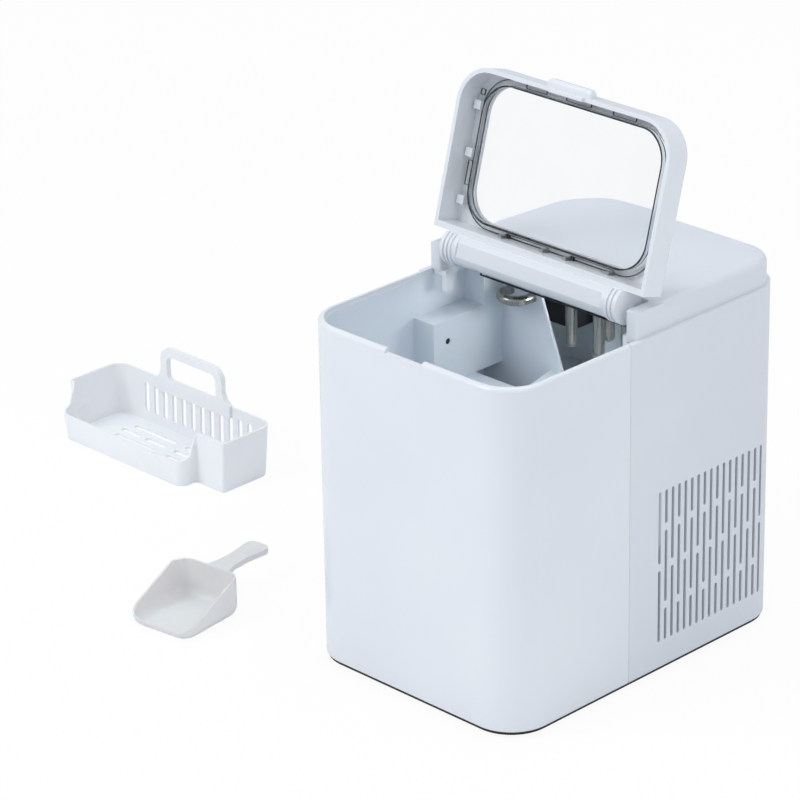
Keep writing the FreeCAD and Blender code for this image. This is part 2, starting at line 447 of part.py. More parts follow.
bar = cylinder("bar_round", "x", "-bar_half", "bar_half", "-bar_back", "-bar_drop", "bar_radius")
barTrim = box("bar_trim", "-bar_half-1", "bar_half+1", "-lid_rear-30", "-lid_rear", "-60", "60")
barFlat = box("bar_flat", "-bar_half-1", "bar_half+1", "-60", "60", "-bar_drop-bar_radius-20", "-bar_drop-bar_radius+1.2")
node(openLid(cut("hinge_bar", bar, barTrim, barFlat)), "hinge_bar")
knuckles = []
for k, s in enumerate((-1, 1)):
    def span(a, b):
        return ("-(%s)" % b, "-(%s)" % a) if s < 0 else (a, b)
    solid = join("knuckle_solid%d" % k,
                 cylinder("knuckle_core%d" % k, "x", *span("bar_half", "knuckle_end"), "-bar_back", "-bar_drop", "knuckle_radius-1.2"),
                 cylinder("knuckle_rib%d" % k, "x", *span("bar_half+5", "bar_half+7"), "-bar_back", "-bar_drop", "knuckle_radius"),
                 cylinder("knuckle_rim%d" % k, "x", *span("bar_half+9", "bar_half+11"), "-bar_back", "-bar_drop", "knuckle_radius"),
                 cylinder("knuckle_disc%d" % k, "x", *span("knuckle_end-3", "knuckle_end"), "-bar_back", "-bar_drop", "knuckle_radius"),
                 cylinder("knuckle_lug%d" % k, "x", *span("bar_half+4", "lug_end"), 0, 0, "lug_radius"))
    trim = box("knuckle_trim%d" % k, "-200", "200", "-lid_rear-40", "-lid_rear", "-60", "60")
    bore = cylinder("knuckle_bore%d" % k, "x", *span("pin_inner-1", "lug_end+1"), 0, 0, "pin_radius+pin_play")
    knuckles.append(cut("knuckle%d" % k, solid, trim, bore))
node(openLid(join("hinge_knuckles", *knuckles)), "hinge_knuckles")

# ice basket: high walls, a slotted wall with a loop, and a lower and narrower front
inside = "basket_step+16"
main = slab("basket_main", 14, "-basket_half", "basket_half", "basket_step", "basket_deep", "0", "basket_high",
            lambda p: p.y > size("basket_deep") - 1)
nose = slab("basket_nose", 8, "-basket_left", "basket_right", "0", inside, "0", "basket_lip", lambda p: p.y < 1)
mainIn = slab("basket_main_in", "14-basket_wall", "basket_wall-basket_half", "basket_half-basket_wall", "basket_step+basket_wall",
              "basket_deep-basket_wall", "basket_wall", "basket_high+1", lambda p: p.y > size("basket_step") + 20)
noseIn = slab("basket_nose_in", "8-basket_wall", "basket_wall-basket_left", "basket_right-basket_wall", "basket_wall", inside,
              "basket_wall", "basket_high+1", lambda p: p.y < 10)
basket = Piece("ice_basket", cut("basket_shell", join("basket_full", main.body, nose.body), join("basket_space", mainIn.body, noseIn.body)))
basket.add("-loop_half", "loop_half", "basket_deep-loop_thick", "basket_deep", "basket_high-8", "loop_top")
basket.cut("loop_bar-loop_half", "loop_half-loop_bar", "basket_deep-loop_thick-1", "basket_deep+1", "basket_high+3", "loop_top-loop_bar")
basket.round(12, lambda e: runs(e, "y") and middle(e).z > size("loop_top") - 0.1)
basket.round(6, lambda e: runs(e, "y") and size("basket_high") + 2 < middle(e).z < size("loop_top") - 1)
bars = basket.cut("slot_first-basket_half", "slot_first-basket_half+slot_wide", "basket_deep-basket_wall-1", "basket_deep+1",
                  "basket_wall+8", "basket_high-12")
basket.repeat([bars], "X", "slot_pitch", 13)
for row, spans in enumerate(((("-62", "-6"), ("6", "60")), (("-66", "-40"), ("-34", "-8"), ("4", "30"), ("36", "60")), (("-62", "-6"), ("6", "60")))):
    for x0, x1 in spans:
        y = "basket_step+%d" % (14 + 12 * row)
        basket.cut(x0, x1, y, y + "+slot_wide", "-1", "basket_wall+1")
place(basket.body, "basket_x", "basket_y", "0")

# scoop, lying with its mouth to the front
pan = slab("scoop_out", 10, "-scoop_long/2", "scoop_long/2", "-scoop_half", "scoop_half", "0", "scoop_high", lambda p: p.x > 0)
panIn = slab("scoop_in", "10-scoop_wall", "-scoop_long/2-1", "scoop_long/2-scoop_wall", "scoop_wall-scoop_half", "scoop_half-scoop_wall",
             "scoop_wall", "scoop_high+1", lambda p: p.x > 0)
slope = doc.addObject("Part::Wedge", "scoop_slope")
for prop, text in (("Xmin", "-scoop_long/2-30"), ("X2min", "-scoop_long/2-30"), ("Xmax", "-scoop_long/2+2"), ("X2max", "6"),
                   ("Ymin", "4"), ("Ymax", "scoop_high+2"), ("Zmin", "-scoop_half-1"), ("Zmax", "scoop_half+1"),
                   ("Z2min", "-scoop_half-1"), ("Z2max", "scoop_half+1")):
    bind(slope, prop, text)
slope.Placement.Rotation = FreeCAD.Rotation(FreeCAD.Vector(1, 0, 0), 90)
stick = slab("scoop_grip", 6, "scoop_long/2-1", "scoop_long/2+grip_long", "-grip_half", "grip_half", "scoop_high-9", "scoop_high-4",
             lambda p: p.x > size("scoop_long") / 2 + 1)
scoop = node(join("ice_scoop", cut("scoop_pan", pan.body, panIn.body, slope), stick.body), "ice_scoop")
scoop.Placement = FreeCAD.Placement(FreeCAD.Vector(), FreeCAD.Rotation(FreeCAD.Vector(0, 0, 1), 90))
bind(scoop, "Placement.Rotation.Angle", "scoop_turn")
place(scoop, "scoop_x", "scoop_y", "0")

# cooling plant under the tank
can = Piece("compressor")
can.addRod("z", "comp_low", "comp_high", "comp_x", "comp_y", "comp_radius")
can.round(16, lambda e: level(size("comp_high"))(e))
can.round(8, lambda e: level(size("comp_low"))(e))
grommets = []
for k, (sx, sy) in enumerate(((-1, -1), (1, -1), (-1, 1), (1, 1))):
    grommets.append(cylinder("grommet%d" % k, "z", "comp_low-6", "comp_low", "comp_x+%d" % (30 * sx), "comp_y+%d" % (30 * sy), 7))
node(join("compressor_grommets", *grommets), "compressor_grommets")

fins = Piece("fin_stack")
fins.add("coil_left+2", "coil_right-2", 31, 33, "24", "156")
fin = fins.add("coil_left", "coil_right", 32, 120, "28", "28.6")
fins.repeat([fin], "Z", "6", 21)
fins.add("coil_left+2", "coil_right-2", 119, 121, "24", "156")
fins.add("coil_left+2", "coil_right-2", 31, 121, "shell_foot+9.5", "24.5")
tubes = []
for k in range(5):
    tubes.append(cylinder("pass%d" % k, "y", 27, 127, "(coil_left+coil_right)/2", "%g" % (43 + 24 * k), 3))
    if k:
        elbow = doc.addObject("Part::Torus", "u%d" % k)
        elbow.Radius1, elbow.Radius2, elbow.Angle3 = 12, 3, 180
        way = 1 if k % 2 else -1
        elbow.Placement.Rotation = FreeCAD.Rotation(FreeCAD.Vector(0, 0, 1), FreeCAD.Vector(0, way, 0), FreeCAD.Vector(-way, 0, 0), "XYZ")
        place(elbow, "(coil_left+coil_right)/2", 127 if k % 2 else 27, "%g" % (31 + 24 * k))
        tubes.append(elbow)
coil = join("condenser_coil", *tubes)
node(coil, "condenser_coil")
finned = cut("condenser_fins_cut", fins.body, coil)
nodes.remove(fins.body)
fins.body.Label = "fin_stack"
node(finned, "condenser_fins")

shroudPlate = box("shroud_plate", "coil_left-3", "coil_left", "fan_y-54", "fan_y+54", "shell_foot+9.5", "fan_z+54")
shroudRing = cylinder("shroud_ring", "x", "coil_left-20", "coil_left", "fan_y", "fan_z", "fan_radius+fan_play+3")
shroudHole = cylinder("shroud_hole", "x", "coil_left-21", "coil_left+1", "fan_y", "fan_z", "fan_radius+fan_play")
strut = box("shroud_strut", "coil_left-20", "coil_left-16", "fan_y-5", "fan_y+5", "fan_z-fan_radius-fan_play-1", "fan_z+fan_radius+fan_play+1")
motorCan = cylinder("fan_can", "x", "coil_left-46", "coil_left-20", "fan_y", "fan_z", 18)
shaft = cylinder("fan_shaft", "x", "coil_left-20", "coil_left-5", "fan_y", "fan_z", 2)
shaftRoom = cylinder("shaft_room", "x", "coil_left-21", "coil_left-15", "fan_y", "fan_z", "2")
node(cut("fan_shroud", join("shroud_full", cut("shroud_open", join("shroud_body", shroudPlate, shroudRing), shroudHole), strut), shaftRoom), "fan_shroud")
node(join("fan_motor", motorCan, shaft), "fan_motor")
hub = cylinder("fan_hub", "x", "coil_left-15", "coil_left-4", 0, 0, 13)
blades = []
for k in range(5):
    blade = box("blade%d" % k, "-4.5", "4.5", "-0.8", "0.8", 11, "fan_radius-2")
    for prop in ("Placement.Base.x", "Placement.Base.y", "Placement.Base.z"):
        blade.setExpression(prop, None)
    turn = FreeCAD.Rotation(FreeCAD.Vector(1, 0, 0), 72 * k).multiply(FreeCAD.Rotation(FreeCAD.Vector(0, 0, 1), 32))
    corner = turn.multVec(FreeCAD.Vector(-4.5, -0.8, 11))
    blade.Placement = FreeCAD.Placement(corner + FreeCAD.Vector(size("coil_left") - 9.5, 0, 0), turn)
    blades.append(blade)
fanHole = cylinder("fan_hole", "x", "coil_left-16", "coil_left-5", 0, 0, "2+pin_play")
fan = node(cut("fan_blade", join("fan_full", hub, *blades), fanHole), "fan_blade")
place(fan, 0, "fan_y", "fan_z")

# smaller plant pieces
drier = Piece("filter_drier")
drier.addRod("z", 60, 120, 30, 132, 9)
drier.round(5, lambda e: len(e.Vertexes) == 1 and abs(e.Curve.Axis.z) > 0.9 if hasattr(e.Curve, "Axis") else False)
pump = cylinder("pump_body", "z", "shell_foot+0", "shell_foot+44", "pump_x", "pump_y", "pump_radius")
spigot = cylinder("pump_spigot", "z", "shell_foot+44", "shell_foot+56", "pump_x", "pump_y", 5)
node(join("water_pump", pump, spigot), "water_pump")
node(cut("water_hose", cylinder("hose_out", "z", "shell_foot+56", "tank_floor", "pump_x", "pump_y", 5), cylinder("hose_in", "z", "shell_foot+50", "tank_floor+1", "pump_x", "pump_y", 3.4)), "water_hose")
spout = cylinder("spout_tube", "y", "depth/2-40", "depth/2-wall-1", "drain_x", "drain_z", "spout_radius-1")
collar = cylinder("spout_collar", "y", "depth/2-wall-5", "depth/2-wall", "drain_x", "drain_z", "spout_radius+3")
spoutHole = cylinder("spout_hole", "y", "depth/2-38", "depth/2", "drain_x", "drain_z", "drain_radius+fit")
plugSeat = cylinder("spout_seat", "y", "depth/2-wall-1.5", "depth/2", "drain_x", "drain_z", "spout_radius-0.2")
node(cut("drain_spout", join("spout_full", spout, collar), spoutHole, plugSeat), "drain_spout")
stem = cylinder("plug_stem", "y", "depth/2-22", "depth/2-2", "drain_x", "drain_z", "drain_radius")
head = cylinder("plug_head", "y", "depth/2-wall-1.2", "depth/2-0.2", "drain_x", "drain_z", "spout_radius-0.6")
node(join("drain_plug", stem, head), "drain_plug")
gland = Piece("power_gland")
gland.addRod("y", "depth/2-wall-8", "depth/2", "gland_x", "gland_z", "gland_radius")
gland.addRod("y", "depth/2-wall-12", "depth/2-wall", "gland_x", "gland_z", "gland_radius+3")
gland.cutRod("y", "depth/2-wall-13", "depth/2+1", "gland_x", "gland_z", 3.2)
node(box("insulation_foam", "-96", "40", "-140", "-4", "tank_floor-16", "tank_floor"), "insulation_foam")
guide = cylinder("float_guide", "z", "tank_floor+tank_wall", "tank_floor+tank_wall+24", "float_x", "float_y", 3)
node(guide, "float_stem")
node(cut("water_float", cylinder("float_body", "z", "tank_floor+tank_wall+fit", "tank_floor+tank_wall+10", "float_x", "float_y", "float_radius"),
         cylinder("float_hole", "z", "tank_floor", "tank_floor+40", "float_x", "float_y", "3+fit")), "water_float")
ledgeEnds = (("rim_width+0.5-width/2", "-88", "-100", "-70"), ("88", "width/2-rim_width-0.5", "-100", "-70"),
             ("-40", "40", "rim_width+0.5-depth/2", "-140"))
ledges = [box("ledge%d" % k, *ends, "basket_seat-6", "basket_seat-0.3") for k, ends in enumerate(ledgeEnds)]
node(join("basket_ledges", *ledges), "basket_ledges")

doc.recompute()
for thing in doc.Objects:
    if {"Invalid", "Error"} & set(thing.State):
        raise RuntimeError("%s failed: %s" % (thing.Name, thing.State))
for thing in nodes:
    shape = thing.Shape
    if shape.isNull() or not shape.isValid() or not shape.Solids:
        raise RuntimeError(thing.Label + " has no valid solid")
    shape.exportStep("parts/%s.step" % thing.Label)
    print("%-22s %2d solids %9.1f mm3" % (thing.Label, len(shape.Solids), shape.Volume))
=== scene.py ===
import json
import math
import bpy
import bmesh
from mathutils import Matrix, Vector


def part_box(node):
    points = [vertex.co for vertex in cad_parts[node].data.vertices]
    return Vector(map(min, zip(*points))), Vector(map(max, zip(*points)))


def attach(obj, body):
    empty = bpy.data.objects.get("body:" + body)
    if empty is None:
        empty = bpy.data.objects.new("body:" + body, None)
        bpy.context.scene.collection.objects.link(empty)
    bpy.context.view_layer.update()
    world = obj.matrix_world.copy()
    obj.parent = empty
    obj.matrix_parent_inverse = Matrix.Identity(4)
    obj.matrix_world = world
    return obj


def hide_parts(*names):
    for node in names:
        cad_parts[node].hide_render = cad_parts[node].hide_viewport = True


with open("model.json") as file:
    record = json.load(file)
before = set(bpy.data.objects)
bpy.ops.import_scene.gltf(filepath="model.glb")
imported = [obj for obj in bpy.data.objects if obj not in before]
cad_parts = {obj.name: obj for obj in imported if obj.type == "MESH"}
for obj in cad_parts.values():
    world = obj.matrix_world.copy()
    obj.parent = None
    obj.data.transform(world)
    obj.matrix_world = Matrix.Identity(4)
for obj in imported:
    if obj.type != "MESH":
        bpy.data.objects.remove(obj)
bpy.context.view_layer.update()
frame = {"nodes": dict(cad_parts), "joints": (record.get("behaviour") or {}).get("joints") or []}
nodes = frame["nodes"]
scene = bpy.context.scene
scene.view_settings.view_transform = "Standard"
print("frame loaded:", len(nodes), "pieces")


def hexToLinear(code):
    parts = [int(code[i:i + 2], 16) / 255 for i in (1, 3, 5)]
    return tuple(c / 12.92 if c <= 0.04045 else ((c + 0.055) / 1.055) ** 2.4 for c in parts) + (1.0,)


def addNode(tree, kind, settings=None, links=None):
    node = tree.nodes.new(kind)
    for key, value in (settings or {}).items():
        if isinstance(key, int) or key in node.inputs:
            node.inputs[key].default_value = value
        else:
            setattr(node, key, value)
    for key, source in (links or {}).items():
        tree.links.new(source, node.inputs[key])
    return node


def deselectAll():
    if bpy.context.mode != "OBJECT":
        bpy.ops.object.mode_set(mode="OBJECT")
    bpy.ops.object.select_all(action="DESELECT")


def takeOver(obj):
    deselectAll()
    obj.select_set(True)
    bpy.context.view_layer.objects.active = obj


def addBlock(name, low, high):
    deselectAll()
    middle = [(a + b) / 2 for a, b in zip(low, high)]
    bpy.ops.mesh.primitive_cube_add(size=1, location=middle, scale=[b - a for a, b in zip(low, high)])
    bpy.ops.object.transform_apply(location=True, rotation=True, scale=True)
    block = bpy.context.object
    block.name = name
    return block


def select(obj, kind, test):
    # leaves the object in edit mode with only the wanted verts, edges or faces selected
    if bpy.context.object != obj or bpy.context.mode != "EDIT_MESH":
        takeOver(obj)
        bpy.ops.object.mode_set(mode="EDIT")
    bpy.ops.mesh.select_mode(type={"verts": "VERT", "edges": "EDGE", "faces": "FACE"}[kind])
    bpy.ops.mesh.select_all(action="DESELECT")
    mesh = bmesh.from_edit_mesh(obj.data)
    found = 0
    for part in getattr(mesh, kind):
        if test(part):
            part.select_set(True)
            found += 1
    mesh.select_flush_mode()
    bmesh.update_edit_mesh(obj.data)
    if not found:
        raise RuntimeError("nothing found to shape on " + obj.name)


def middleOf(edge):
    return (edge.verts[0].co + edge.verts[1].co) / 2


def runsAlong(edge, axis):
    way = edge.verts[1].co - edge.verts[0].co
    return abs(way[axis]) > 0.98 * way.length


def roundEdges(obj, test, width, segments=5):
    select(obj, "edges", test)
    bpy.ops.mesh.bevel(offset=width, segments=segments, affect="EDGES", clamp_overlap=True)


def cutAcross(obj, spot, normal, **keep):
    select(obj, "faces", lambda f: True)
    bpy.ops.mesh.bisect(plane_co=spot, plane_no=normal, **keep)


def finishWith(obj, kind, **settings):
    takeOver(obj)
    modifier = obj.modifiers.new(kind.lower(), kind)
    for key, value in settings.items():
        setattr(modifier, key, value)
    bpy.ops.object.modifier_apply(modifier=modifier.name)


def fuse(obj, other, operation="DIFFERENCE"):
    finishWith(obj, "BOOLEAN", operation=operation, object=other, solver="EXACT")
    bpy.data.objects.remove(other, do_unlink=True)


def smooth(obj, degrees=32):
    takeOver(obj)
    bpy.ops.object.shade_smooth_by_angle(angle=math.radians(degrees))


def softenEdges(obj, width):
    finishWith(obj, "BEVEL", width=width, segments=2, limit_method="ANGLE", angle_limit=math.radians(38))
    smooth(obj)
    finishWith(obj, "WEIGHTED_NORMAL", keep_sharp=True)


def finishPiece(piece, material, body, slot, *replaced):
    piece.data.materials.clear()
    piece.data.materials.append(material)
    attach(piece, body)
    if replaced:
        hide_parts(*replaced)


grainDepth = 0.0002  # metres, how deep the mould texture and metal streaks look


# moulded plastic: a clean base colour, very faint cloudiness and a fine mould texture
def mouldedPlastic(name, look):
    material = bpy.data.materials.new(name)
    material.use_nodes = True
    tree = material.node_tree
    shader = tree.nodes["Principled BSDF"]
    place = addNode(tree, "ShaderNodeTexCoord")
    cloud = addNode(tree, "ShaderNodeTexNoise", {"Scale": look["cloudScale"], "Detail": 3.0},
                    {"Vector": place.outputs["Object"]})
    tone = addNode(tree, "ShaderNodeValToRGB", links={"Fac": cloud.outputs["Fac"]})
    tone.color_ramp.elements[0].position, tone.color_ramp.elements[1].position = 0.35, 0.65
    tone.color_ramp.elements[0].color = hexToLinear(look["shade"])
    tone.color_ramp.elements[1].color = hexToLinear(look["colour"])
    tree.links.new(tone.outputs["Color"], shader.inputs["Base Color"])
    grain = addNode(tree, "ShaderNodeTexNoise", {"Scale": look["grainScale"], "Detail": 2.0},
                    {"Vector": place.outputs["Object"]})
    bump = addNode(tree, "ShaderNodeBump", {"Strength": look["grain"], "Distance": grainDepth},
                   {"Height": grain.outputs["Fac"]})
    tree.links.new(bump.outputs["Normal"], shader.inputs["Normal"])
    span = {"To Min": look["rough"] - 0.04, "To Max": look["rough"] + 0.04}
    rough = addNode(tree, "ShaderNodeMapRange", span, {"Value": cloud.outputs["Fac"]})
    tree.links.new(rough.outputs["Result"], shader.inputs["Roughness"])
    shader.inputs["IOR"].default_value = look.get("ior", 1.5)
    shader.inputs["Coat Weight"].default_value = look.get("coat", 0.0)
    shader.inputs["Coat Roughness"].default_value = 0.12
    shader.inputs["Subsurface Weight"].default_value = look.get("soft", 0.0)
    shader.inputs["Subsurface Scale"].default_value = 0.004
    shader.inputs["Transmission Weight"].default_value = look.get("clear", 0.0)
    return material


# glossy injection moulded ABS, cool white with a soft sheen
glossAbs = mouldedPlastic("gloss white ABS", {
    "colour": "#e9edf1", "shade": "#e5e9ee", "rough": 0.24, "cloudScale": 6, "grainScale": 1800,
    "grain": 0.03, "coat": 0.25,
})
# the rear half, its grille and the top cover are the same ABS with a duller mould texture
satinAbs = mouldedPlastic("satin white ABS", {
    "colour": "#e2e7ec", "shade": "#dee3e9", "rough": 0.38, "cloudScale": 6, "grainScale": 1500,
    "grain": 0.08,
})
# food grade polypropylene of the tank, bluish and soft
tankPlastic = mouldedPlastic("satin polypropylene tank", {
    "colour": "#e4ebf2", "shade": "#dee7ef", "rough": 0.34, "cloudScale": 9, "grainScale": 1300,
    "grain": 0.05, "soft": 0.1,
})
# basket in bright polypropylene
basketPlastic = mouldedPlastic("gloss polypropylene basket", {
    "colour": "#f6f8fa", "shade": "#f2f5f7", "rough": 0.28, "cloudScale": 9, "grainScale": 1500,
    "grain": 0.04, "soft": 0.1,
})
# milky scoop that lets some light through
scoopPlastic = mouldedPlastic("milky polypropylene scoop", {
    "colour": "#f7f8f8", "shade": "#f3f4f4", "rough": 0.3, "cloudScale": 12, "grainScale": 1500,
    "grain": 0.03, "soft": 0.3, "clear": 0.25,
})
# black polypropylene base tray
blackBase = mouldedPlastic("black polypropylene base", {
    "colour": "#16171a", "shade": "#121316", "rough": 0.42, "cloudScale": 12, "grainScale": 1400,
    "grain": 0.15,
})
# glass filled nylon of motor and fan parts
blackNylon = mouldedPlastic("matt black nylon", {
    "colour": "#212327", "shade": "#1b1c20", "rough": 0.6, "cloudScale": 30, "grainScale": 1200,
    "grain": 0.25,
})
# dark gloss control strip
stripPlastic = mouldedPlastic("dark gloss acrylic strip", {
    "colour": "#33373c", "shade": "#2e3236", "rough": 0.12, "cloudScale": 12, "grainScale": 1500,
    "grain": 0.0, "coat": 0.5,
})
# nitrile rubber feet and seals
softRubber = mouldedPlastic("black nitrile rubber", {
    "colour": "#1c1c1d", "shade": "#171718", "rough": 0.75, "cloudScale": 40, "grainScale": 900,
    "grain": 0.3,
})
# silicone hose
siliconeHose = mouldedPlastic("translucent silicone hose", {
    "colour": "#dadbd6", "shade": "#d2d3ce", "rough": 0.45, "cloudScale": 40, "grainScale": 900,
    "grain": 0.1, "soft": 0.3,
})
# expanded polystyrene slab
foamBoard = mouldedPlastic("expanded polystyrene foam", {
    "colour": "#f0efe9", "shade": "#dddcd4", "rough": 0.85, "cloudScale": 260, "grainScale": 260,
    "grain": 0.8,
})
# green solder mask
boardGreen = mouldedPlastic("green solder mask board", {
    "colour": "#1e5a34", "shade": "#174828", "rough": 0.4, "cloudScale": 90, "grainScale": 600,
    "grain": 0.1,
})
# frosted light pipe caps
ledCap = mouldedPlastic("frosted light pipe", {
    "colour": "#dfe9f2", "shade": "#d3dfea", "rough": 0.3, "cloudScale": 90, "grainScale": 900,
    "grain": 0.05, "soft": 0.3,
})


# metals: drawn or plated, with fine streaks along one axis
def drawnMetal(name, look):
    material = bpy.data.materials.new(name)
    material.use_nodes = True
    tree = material.node_tree
    shader = tree.nodes["Principled BSDF"]
    shader.inputs["Metallic"].default_value = look.get("metallic", 1.0)
    place = addNode(tree, "ShaderNodeTexCoord")
    stretch = addNode(tree, "ShaderNodeMapping", {"Scale": look["stretch"]},
                      {"Vector": place.outputs["Object"]})
    streak = addNode(tree, "ShaderNodeTexNoise", {"Scale": look["scale"], "Detail": 4.0},
                     {"Vector": stretch.outputs["Vector"]})
    tone = addNode(tree, "ShaderNodeMix", {"data_type": "RGBA"}, {"Factor": streak.outputs["Fac"]})
    tone.inputs[6].default_value = hexToLinear(look["shade"])
    tone.inputs[7].default_value = hexToLinear(look["colour"])
    tree.links.new(tone.outputs[2], shader.inputs["Base Color"])
    span = {"To Min": look["rough"] - 0.05, "To Max": look["rough"] + 0.08}
    rough = addNode(tree, "ShaderNodeMapRange", span, {"Value": streak.outputs["Fac"]})
    tree.links.new(rough.outputs["Result"], shader.inputs["Roughness"])
    bump = addNode(tree, "ShaderNodeBump", {"Strength": 0.06, "Distance": grainDepth},
                   {"Height": streak.outputs["Fac"]})
    tree.links.new(bump.outputs["Normal"], shader.inputs["Normal"])
    return material


# nickel plated copper, warm grey and satin bright
nickelPlate = drawnMetal("satin nickel plate", {
    "colour": "#b9b6b0", "shade": "#98948d", "rough": 0.26, "scale": 300, "stretch": (1, 1, 0.08),
})
# ground steel pins
pinSteel = drawnMetal("ground steel pin", {
    "colour": "#b8babd", "shade": "#8f9295", "rough": 0.3, "scale": 300, "stretch": (0.1, 1, 1),
})
# thin mill finish fins
finAluminium = drawnMetal("mill finish aluminium fin", {
    "colour": "#c3c6c9", "shade": "#a5a9ad", "rough": 0.4, "scale": 200, "stretch": (1, 0.1, 1),
})
# bare copper pipe, slightly tarnished
copperPipe = drawnMetal("tarnished copper pipe", {
    "colour": "#c07c52", "shade": "#8f5636", "rough": 0.35, "scale": 80, "stretch": (1, 1, 1),
})
# black enamelled compressor can
enamelBlack = drawnMetal("black enamelled steel", {
    "colour": "#1a1b1d", "shade": "#131416", "rough": 0.35, "scale": 60, "stretch": (1, 1, 1),
    "metallic": 0.0,
})


# clear polycarbonate sheet, faintly smoky; a dark grey version of it is painted shade for where an edge of
# the clear window is seen
def clearSheet(name, look):
    material = bpy.data.materials.new(name)
    material.use_nodes = True
    tree = material.node_tree
    shader = tree.nodes["Principled BSDF"]
    place = addNode(tree, "ShaderNodeTexCoord")
    haze = addNode(tree, "ShaderNodeTexNoise", {"Scale": 40.0, "Detail": 3.0},
                   {"Vector": place.outputs["Object"]})
    tone = addNode(tree, "ShaderNodeMix", {"data_type": "RGBA"}, {"Factor": haze.outputs["Fac"]})
    tone.inputs[6].default_value = hexToLinear(look["shade"])
    tone.inputs[7].default_value = hexToLinear(look["colour"])
    tree.links.new(tone.outputs[2], shader.inputs["Base Color"])
    rough = addNode(tree, "ShaderNodeMapRange", {"To Min": look["rough"], "To Max": look["rough"] + 0.02},
                    {"Value": haze.outputs["Fac"]})
    tree.links.new(rough.outputs["Result"], shader.inputs["Roughness"])
    shader.inputs["IOR"].default_value = look["ior"]
    shader.inputs["Transmission Weight"].default_value = 1.0
    return material


clearWindow = clearSheet("clear polycarbonate", {
    "colour": "#fbfcfd", "shade": "#f6f8fa", "rough": 0.0, "ior": 1.2,
})
# painted shade: a dark grey see-through material for the thin rings that stand in for the dark look of the
# window's edges
paintedEdgeShade = clearSheet("smoky polycarbonate edge", {
    "colour": "#5a5f66", "shade": "#4a4f56", "rough": 0.1, "ior": 1.45,
})

clearEdge = clearSheet("polycarbonate lip", {
    "colour": "#dfe4ea", "shade": "#d3d9e0", "rough": 0.08, "ior": 1.3,
})
darkEdge = mouldedPlastic("black edge of smoked polycarbonate", {
    "colour": "#17181b", "shade": "#121316", "rough": 0.25, "cloudScale": 12, "grainScale": 1400,
    "grain": 0.0,
})
smokedSheet = clearSheet("smoked polycarbonate", {
    "colour": "#aeb4bc", "shade": "#a4abb4", "rough": 0.02, "ior": 1.25,
})

finishes = {
    glossAbs: "front_shell lid_frame lid_handle lid_tongue hinge_bar hinge_knuckles hinge_brackets "
              "window_clips power_button select_button",
    satinAbs: "rear_shell rear_grille top_cover",
    tankPlastic: "tank_liner sensor_housing_left sensor_housing_right chamber_panel ice_ramp basket_ledges "
                 "water_tray tray_bearing water_float float_stem",
    basketPlastic: "ice_basket",
    scoopPlastic: "ice_scoop",
    clearWindow: "lid_window splash_guard",
    blackBase: "base_pan",
    blackNylon: "ir_emitter ir_receiver tray_motor fan_shroud fan_motor fan_blade water_pump power_gland "
                "drain_spout",
    stripPlastic: "control_panel",
    ledCap: "led_lights",
    boardGreen: "control_board",
    softRubber: "rubber_feet compressor_grommets drain_plug",
    siliconeHose: "water_hose",
    nickelPlate: "evaporator_tube evaporator_fingers return_bend",
    pinSteel: "hinge_pin_left hinge_pin_right snap_hooks",
    enamelBlack: "compressor",
    finAluminium: "condenser_fins",
    copperPipe: "condenser_coil filter_drier",
    foamBoard: "insulation_foam",
}
for material, names in finishes.items():
    for name in names.split():
        slots = nodes[name].material_slots
        for slot in slots:
            slot.material = material
        if not slots:
            nodes[name].data.materials.append(material)
print("materials given to", sum(len(n.split()) for n in finishes.values()), "pieces")


mm = 0.001
tiny = 1e-4  # how near an edge has to be to count as being there

basketLook = {
    "wall": 2 * mm, "step": 18 * mm, "insetLeft": 6 * mm, "insetRight": 36 * mm,
    "rim": 48 * mm, "lip": 24 * mm, "draft": 0.965,
    "backCorner": 14 * mm, "frontCorner": 9 * mm, "stepCorner": 2.7 * mm, "footRound": 3 * mm,
    "rise": 0.62, "riseHeight": 1.16,  # where the low lip starts to climb, and how high it is there
    "slotWidth": 5.6 * mm, "slotPitch": 12.3 * mm, "slotFirst": 36 * mm, "slots": 13,
    # start and end of each slot in the floor, in mm from the middle, row by row
    "rows": (((-62, -6), (6, 60)), ((-66, -40), (-34, -8), (4, 30), (36, 60)), ((-62, -6), (6, 60))),
    "rowFirst": 14 * mm, "rowPitch": 12 * mm,
    "loopHalf": 40 * mm, "loopFoot": 49 * mm, "loopBar": 8 * mm, "loopThick": 5 * mm, "loopCorner": 12 * mm,
    "edge": 0.5 * mm,
}


def roundedSlot(name, low, high, axis):
    # a cutter with its ends rounded, running through along one axis
    slot = addBlock(name, low, high)
    across = min(high[i] - low[i] for i in range(3) if i != axis)
    roundEdges(slot, lambda e: runsAlong(e, axis), across * 0.48, 4)
    return slot


